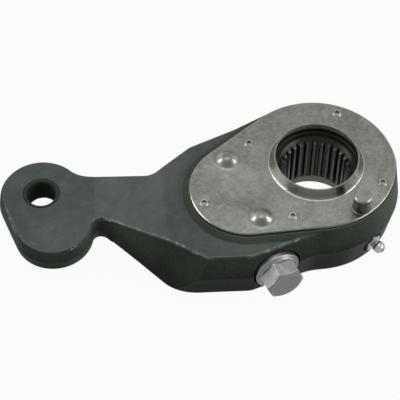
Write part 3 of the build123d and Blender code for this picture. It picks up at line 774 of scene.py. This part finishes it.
@dataclass(frozen=True)
class DullEnds:
    """The flange under the hexagon and the chamfered face on top of it, both duller than its flats."""

    node: str = "worm_shaft"
    joint: str = "worm_shaft_spin"
    colour: Colour = (0.168, 0.171, 0.162)
    hex_length: float = 9.0 * MM
    face_r: float = 8.4 * MM
    chamfer: float = radians(30)
    face_start: float = 0.25 * MM
    face_full: float = 0.1 * MM
    foot_fade: float = 0.2 * MM

    def mask(self, g: Graph) -> Value:
        """Where the dull ends lie.

        Args:
            g: The graph of the piece's material.

        Returns:
            1 on the flange and the face, 0 on the flats.
        """
        spin = frame_joint(self.joint)
        axis = tuple(spin["axis"])
        points = frame["nodes"][self.node].data.vertices
        top = max(point.co.dot(Vector(axis)) for point in points)
        foot = top - self.hex_length
        along = g.measure("DOT_PRODUCT", g.place(), axis)
        offset = g.vector("SUBTRACT", g.place(), tuple(spin["pos_m"]))
        out = g.measure("LENGTH", g.vector("CROSS_PRODUCT", offset, axis))
        cone = along + (g.largest(out, self.face_r) - self.face_r) * tan(self.chamfer)
        face = cone.above(top - self.face_start, top - self.face_full)
        return g.largest(face, along.above(foot + self.foot_fade, foot))


@dataclass(frozen=True)
class FacingShade:
    """Painted shade on the side of a piece that faces one way."""

    side: Place
    colour: Colour = (0.035, 0.035, 0.026)
    turn: Ramp = (0.55, 0.85)

    def mask(self, g: Graph) -> Value:
        """1 on that side and 0 elsewhere."""
        return g.measure("DOT_PRODUCT", g.normal(), self.side).above(*self.turn)


@dataclass(frozen=True)
class PlatedSteel:
    """Zinc or oiled steel with fine machining marks, and where asked, edges lightened partly by wear
    and partly by a painted highlight.
    """

    name: str
    colour: Colour
    shade: Colour
    roughness: float = 0.34
    metallic: float = 0.9
    specular: float = 0.5
    edge: Colour = (0.50, 0.50, 0.47)
    edge_wear_and_glint: Wear = Wear.NEW
    edge_reach: float = 0.35 * MM
    cloud_size: float = 4 * MM
    grain_size: float = 0.5 * MM
    relief: float = 0.008 * MM
    clouding: Ramp = (0.32, 0.68)
    cloud_swing: float = 0.12
    grain_swing: float = 0.08

    def material(self, darkening: DullEnds | FacingShade | None = None) -> bpy.types.Material:
        """Make the material.

        Args:
            darkening: A place that is duller than the rest, if there is one.

        Returns:
            The material.
        """
        g = MaterialGraph(self.name)
        cloud = g.noise(self.cloud_size, 4)
        grain = g.noise(self.grain_size, 3)
        clouded = (cloud * 0.7 + grain * 0.3).above(*self.clouding)
        colour = g.blend(clouded, self.shade, self.colour)
        if darkening is not None:
            # Darker where the darkening lies; on the stud this is painted shade on its front.
            colour = g.blend(darkening.mask(g), colour, darkening.colour)
        # Lighter edges: partly wear, partly a painted highlight.
        if self.edge_wear_and_glint is not Wear.NEW:
            rubbed = g.near_edge(self.edge_reach) * self.edge_wear_and_glint.value
            colour = g.blend(rubbed, colour, self.edge)
        rough = self.roughness + cloud.swing(self.cloud_swing) + grain.swing(self.grain_swing)
        return g.finish(
            Base_Color=colour,
            Roughness=rough,
            Metallic=self.metallic,
            Specular_IOR_Level=self.specular,
            Normal=g.bump(grain, self.relief),
        )


@dataclass(frozen=True)
class SoftBlack:
    """Black rubber or gasket board."""

    name: str
    colour: Colour = (0.012, 0.012, 0.012)
    roughness: float = 0.6
    grain_swing: float = 0.15
    specular: float = 0.2
    lighter: float = 1.6
    grain_size: float = 0.4 * MM
    relief: float = 0.02 * MM

    def material(self) -> bpy.types.Material:
        """Make the material.

        Returns:
            The material.
        """
        g = MaterialGraph(self.name)
        grain = g.noise(self.grain_size, 3)
        light = tuple(self.lighter * channel for channel in self.colour)
        return g.finish(
            Base_Color=g.blend(grain, self.colour, light),
            Roughness=self.roughness + grain.swing(self.grain_swing),
            Specular_IOR_Level=self.specular,
            Normal=g.bump(grain, self.relief),
        )


def dress(node: str, material: bpy.types.Material) -> None:
    """Give a CAD node its finish.

    Args:
        node: The node's name.
        material: The material for all of its slots.
    """
    mesh = frame["nodes"][node].data
    mesh.materials.clear()
    mesh.materials.append(material)
    LOG.info("%s wears %s", node, material.name)


def stand_in(
    name: str, mesh: bpy.types.Mesh, node: str, material: bpy.types.Material
) -> bpy.types.Object:
    """Put a piece in a fixed CAD node's place.

    Args:
        name: The piece's name.
        mesh: Its shape.
        node: The node that it replaces.
        material: Its finish.

    Returns:
        The piece, which rides on the housing.
    """
    mesh.materials.clear()
    mesh.materials.append(material)
    piece = bpy.data.objects.new(name, mesh)
    bpy.context.scene.collection.objects.link(piece)
    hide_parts(node)
    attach(piece, "housing")
    LOG.info("%s stands for %s and wears %s", name, node, material.name)
    return piece


@dataclass(frozen=True)
class PressedSpring:
    """A spring that a ball shortens."""

    name: str
    node: str
    joint: str

    def build(self, wire: bpy.types.Material) -> None:
        """Make the spring in its node's place, with a mesh of its own.

        Args:
            wire: Its finish.
        """
        mesh = frame["nodes"][self.node].data.copy()
        spring = stand_in(self.name, mesh, self.node, wire)
        press = frame_joint(self.joint)
        axis = Vector(press["axis"])
        along = [vertex.co.dot(axis) for vertex in mesh.vertices]
        seat = max(along)
        keep = 1 - press["range_m"][1] / (seat - min(along))
        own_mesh(spring)


@dataclass
class Forging:
    """The forged head and arm with the bush in its ear."""

    paint: ForgedPaint = ForgedPaint()
    bush: PlatedSteel = PlatedSteel(
        "oiled_bush",
        colour=(0.034, 0.040, 0.029),
        shade=(0.018, 0.022, 0.014),
        roughness=0.7,
        metallic=0.0,
        specular=0.02,
        # The lighter rim of the bush is a painted highlight.
        edge=(0.16, 0.18, 0.155),
        edge_wear_and_glint=Wear.HANDLED,
        edge_reach=0.8 * MM,
    )
    arm_edges: tuple[WornEdge, ...] = (
        WornEdge((-116.0, -20.5, 9.0), (-98.0, -32.5, 12.5), 1.3),
        WornEdge((-98.0, -32.5, 12.5), (-82.0, -43.4, 15.9), 1.6),
        WornEdge((-82.0, -43.4, 15.9), (-48.0, -66.0, 16.2), 1.6),
    )
    head_edges: tuple[WornEdge, ...] = (
        WornEdge((-41.0, -56.6, 16.2), (-4.0, -43.6, 16.2), 1.4),
    )
    ear_edges: tuple[WornEdge, ...] = (
        WornEdge((-161.0, -36.6, 7.4), (-150.0, -41.0, 7.5), 1.2),
        WornEdge((-150.0, -41.0, 7.5), (-138.0, -40.8, 7.5), 1.2),
        WornEdge((-138.0, -40.8, 7.5), (-127.0, -33.2, 7.5), 1.2),
        WornEdge((-127.0, -33.2, 7.5), (-122.6, -23.0, 8.0), 1.3),
        WornEdge((-168.8, -10.0, 7.5), (-162.5, -33.5, 7.5), 1.2),
    )

    def build(self) -> None:
        """Dress the forging and its bush."""
        dress("housing", self.paint.material(self.arm_edges + self.head_edges + self.ear_edges))
        dress("clevis_bush", self.bush.material())


@dataclass
class Covers:
    """The two pressed covers, what lies under them and what fixes them."""

    sheet: ZincSheet = ZincSheet()
    balls: tuple[str, ...] = ("near_detent_ball", "far_detent_ball")
    thickness: float = 1.5 * MM
    dome_r: float = 6.4 * MM
    dome_top: float = 2.6 * MM
    dome_height: float = 3.3 * MM
    dome_slack: float = 0.05 * MM
    outer_share: float = 0.95
    bell_foot: float = 7.4 * MM
    bell_top: float = 1.2 * MM
    weld: float = 0.001 * MM
    crease: float = radians(28)
    rivet_zinc: PlatedSteel = PlatedSteel(
        "rivet_zinc", colour=(0.27, 0.275, 0.25), shade=(0.18, 0.185, 0.168), roughness=0.36
    )
    stud_zinc: PlatedSteel = PlatedSteel(
        "stud_zinc",
        colour=(0.205, 0.21, 0.192),
        shade=(0.15, 0.154, 0.14),
        roughness=0.30,
        edge_wear_and_glint=Wear.HANDLED,
    )
    # Painted shade on the stud's side that faces the front.
    stud_shade: FacingShade = FacingShade((0.10, -0.995, 0.0))
    board: SoftBlack = SoftBlack("gasket_board", colour=(0.02, 0.02, 0.018), roughness=0.8)
    rubber: SoftBlack = SoftBlack("seal_rubber", colour=(0.007, 0.011, 0.006))

    def build(self) -> None:
        """Dress covers, gaskets, seals, rivets and stud."""
        sheet = self.sheet.material()
        dress("lower_cover", sheet)
        self.press_domes(sheet)
        board = self.board.material()
        for node in ("upper_gasket", "lower_gasket"):
            dress(node, board)
        rubber = self.rubber.material()
        for node in ("upper_seal_ring", "lower_seal_ring"):
            dress(node, rubber)
        dress("cover_rivets", self.rivet_zinc.material())
        dress("guide_stud", self.stud_zinc.material(self.stud_shade))

    def press_domes(self, sheet: bpy.types.Material) -> None:
        """Make the upper cover again with its domes pressed out to their bell shape.

        Args:
            sheet: The cover's finish.
        """
        mesh = frame["nodes"]["upper_cover"].data.copy()
        cover = bmesh.new()
        cover.from_mesh(mesh)
        bmesh.ops.remove_doubles(cover, verts=cover.verts, dist=self.weld)
        feet = [self.dome_foot(ball) for ball in self.balls]
        for vertex in cover.verts:
            for foot in feet:
                self.draw_out(vertex, foot)
        cover.to_mesh(mesh)
        cover.free()
        mesh.attributes.remove(mesh.attributes["custom_normal"])
        mesh.shade_smooth()
        mesh.set_sharp_from_angle(angle=self.crease)
        stand_in("pressed_cover", mesh, "upper_cover", sheet)

    def dome_foot(self, ball: str) -> Vector:
        """Find the middle of a dome's foot, over its ball.

        Args:
            ball: The ball's node.

        Returns:
            The point on the cover's outer face.
        """
        low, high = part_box(ball)
        foot = (low + high) / 2
        foot.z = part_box("upper_cover")[0].z + self.thickness
        return foot

    def draw_out(self, vertex: bmesh.types.BMVert, foot: Vector) -> None:
        """Move one point of a dome's outer face from its round profile to the bell.

        Args:
            vertex: The point.
            foot: The middle of the dome's foot.
        """
        offset = vertex.co - foot
        out = hypot(offset.x, offset.y)
        width = self.dome_r - self.dome_top
        arc_r = (width**2 + self.dome_height**2) / (2 * self.dome_height)
        rise = offset.z - self.dome_height + arc_r
        run = out - self.dome_top
        beside = out > self.dome_r + self.dome_slack
        if beside or hypot(run, rise) < self.outer_share * arc_r:
            return
        lowest = atan2(arc_r - self.dome_height, width)
        climb = (atan2(rise, run) - lowest) / (pi / 2 - lowest)
        reach = self.bell_foot + (self.bell_top - self.bell_foot) * climb
        vertex.co.x = foot.x + offset.x * reach / out
        vertex.co.y = foot.y + offset.y * reach / out
        # Level at the foot and at the top, as smoothstep is
        vertex.co.z = foot.z + self.dome_height * climb * climb * (3 - 2 * climb)


@dataclass
class WormDrive:
    """Worm shaft, worm and splined wheel, with the small pieces on them."""

    hex_zinc: PlatedSteel = PlatedSteel(
        "hex_zinc",
        colour=(0.31, 0.32, 0.31),
        shade=(0.18, 0.19, 0.185),
        roughness=0.40,
        edge=(0.66, 0.66, 0.63),
        edge_wear_and_glint=Wear.RUBBED,
        edge_reach=0.5 * MM,
        relief=0.03 * MM,
    )
    hex_ends: DullEnds = DullEnds()
    wheel_steel: GreasedSteel = GreasedSteel()
    oiled: PlatedSteel = PlatedSteel(
        "oiled_steel", colour=(0.20, 0.20, 0.19), shade=(0.12, 0.12, 0.11)
    )
    bronze: PlatedSteel = PlatedSteel(
        "bush_bronze", colour=(0.48, 0.30, 0.12), shade=(0.34, 0.21, 0.09)
    )
    rubber: SoftBlack = SoftBlack("ring_rubber")

    def build(self) -> None:
        """Dress the drive."""
        dress("worm_shaft", self.hex_zinc.material(self.hex_ends))
        dress("worm_wheel", self.wheel_steel.material())
        oiled = self.oiled.material()
        for node in ("worm", "worm_key", "shaft_circlip", "end_plug"):
            dress(node, oiled)
        dress("end_bush", self.bronze.material())
        dress("shaft_o_ring", self.rubber.material())


@dataclass
class Detents:
    """Sprung balls under the domes."""

    ball: PlatedSteel = PlatedSteel(
        "ball_steel", colour=(0.55, 0.55, 0.56), shade=(0.45, 0.45, 0.46), roughness=0.12
    )
    wire: PlatedSteel = PlatedSteel(
        "spring_wire", colour=(0.25, 0.25, 0.26), shade=(0.16, 0.16, 0.17)
    )
    springs: tuple[PressedSpring, ...] = (
        PressedSpring("near_click_spring", "near_detent_spring", "near_detent_lift"),
        PressedSpring("far_click_spring", "far_detent_spring", "far_detent_lift"),
        PressedSpring("check_spring", "nipple_spring", "nipple_ball_press"),
    )

    def build(self) -> None:
        """Dress the balls and make the springs, with the nipple's own."""
        ball = self.ball.material()
        for node in ("near_detent_ball", "far_detent_ball", "nipple_ball"):
            dress(node, ball)
        wire = self.wire.material()
        for spring in self.springs:
            spring.build(wire)


@dataclass
class GreaseNipple:
    """The nipple on the head's side."""

    zinc: PlatedSteel = PlatedSteel(
        "bright_zinc", colour=(0.42, 0.43, 0.43), shade=(0.32, 0.33, 0.33), roughness=0.24
    )

    def build(self) -> None:
        """Dress the nipple."""
        dress("grease_nipple", self.zinc.material())


@dataclass(frozen=True)
class Softbox:
    """A rectangular lamp that faces the part."""

    name: str
    place: Place
    size: tuple[float, float]
    watts: float

    def hang(self, target: Vector) -> None:
        """Hang the lamp.

        Args:
            target: The point that it faces.
        """
        data = bpy.data.lights.new(self.name, "AREA")
        data.shape = "RECTANGLE"
        data.size, data.size_y = self.size
        data.energy = self.watts
        lamp = bpy.data.objects.new(self.name, data)
        bpy.context.scene.collection.objects.link(lamp)
        lamp.location = self.place
        lamp.rotation_mode = "QUATERNION"
        lamp.rotation_quaternion = (target - Vector(self.place)).to_track_quat("-Z", "Y")


@dataclass
class Studio:
    """Camera, floor and soft light."""

    target: Place = (-65.087 * MM, -20.503 * MM, 20.0 * MM)
    distance: float = 828.97 * MM
    pitch: float = 0.92476
    yaw: float = 0.093259
    roll: float = 0.012734
    focal_pixels: float = 1554.6
    frame_pixels: float = 400.0
    sensor: float = 36.0
    clip: tuple[float, float] = (0.01, 100.0)
    floor_size: float = 8.0
    floor_colour: Colour = (0.50, 0.50, 0.50)
    floor_glow: float = 0.95
    room_light: float = 0.2
    softboxes: tuple[Softbox, ...] = (
        Softbox("top_softbox", (-0.05, 0.20, 1.30), (0.90, 0.90), 6.0),
        Softbox("left_softbox", (-1.09, 0.08, 0.42), (0.90, 0.40), 5.5),
        Softbox("right_softbox", (0.93, -0.28, 0.42), (1.00, 0.40), 7.2),
    )

    def build(self, floor_height: float) -> None:
        """Set up the studio.

        Args:
            floor_height: Where the floor lies, in metres.
        """
        self.place_camera()
        self.lay_floor(floor_height)
        self.light_room()
        for softbox in self.softboxes:
            softbox.hang(Vector(self.target))

    def place_camera(self) -> None:
        """Set the camera at the photograph's angle."""
        data = bpy.data.cameras.new("camera")
        camera = bpy.data.objects.new("camera", data)
        bpy.context.scene.collection.objects.link(camera)
        data.sensor_width = self.sensor
        data.lens = self.focal_pixels / self.frame_pixels * self.sensor
        data.clip_start, data.clip_end = self.clip
        ahead = Vector(
            (sin(self.yaw) * cos(self.pitch), cos(self.yaw) * cos(self.pitch), -sin(self.pitch))
        )
        level = Vector((cos(self.yaw), -sin(self.yaw), 0))
        upright = level.cross(ahead)
        right = level * cos(self.roll) + upright * sin(self.roll)
        up = upright * cos(self.roll) - level * sin(self.roll)
        turn = Matrix((right, up, -ahead)).transposed().to_4x4()
        eye = Vector(self.target) - ahead * self.distance
        camera.matrix_world = Matrix.Translation(eye) @ turn
        bpy.context.scene.camera = camera

    def lay_floor(self, height: float) -> None:
        """Lay the pale floor.

        Args:
            height: Where it lies, in metres.
        """
        half = self.floor_size / 2
        corners = [(x * half, y * half, height) for x, y in ((-1, -1), (1, -1), (1, 1), (-1, 1))]
        mesh = bpy.data.meshes.new("floor")
        mesh.from_pydata(corners, [], [(0, 1, 2, 3)])
        floor = bpy.data.objects.new("floor", mesh)
        bpy.context.scene.collection.objects.link(floor)
        mesh.materials.append(self.floor_material())

    def floor_material(self) -> bpy.types.Material:
        """Make the floor's matt finish, which shows white to the camera and keeps the shadow.

        Returns:
            The material.
        """
        g = MaterialGraph("floor")
        matt = g.node("ShaderNodeBsdfDiffuse", None, {"Color": rgba(self.floor_colour)})
        glow = g.node("ShaderNodeEmission", None, {"Color": rgba(WHITE), "Strength": 1.0})
        mixed = g.node(
            "ShaderNodeMixShader",
            None,
            {0: g.seen() * self.floor_glow, 1: matt.outputs[0], 2: glow.outputs[0]},
        )
        return g.show(mixed.outputs[0])

    def light_room(self) -> None:
        """Surround the part with a room that shows white and lights it softly."""
        world = bpy.data.worlds.new("room")
        bpy.context.scene.world = world
        g = Graph(world)
        strength = self.room_light + (1 - self.room_light) * g.seen()
        room = g.node("ShaderNodeBackground", None, {"Color": rgba(WHITE), "Strength": strength})
        g.node("ShaderNodeOutputWorld", None, {"Surface": room.outputs[0]})


def main() -> None:
    """Build the sub-assemblies in order, then the studio round them."""
    logging.basicConfig(level=logging.INFO, format="%(message)s")
    bpy.context.scene.view_settings.view_transform = "Standard"
    for assembly in (Forging(), Covers(), WormDrive(), Detents(), GreaseNipple()):
        assembly.build()
    Studio().build(floor_height=cad_bounds[0].z)


if __name__ == "__main__":
    main()
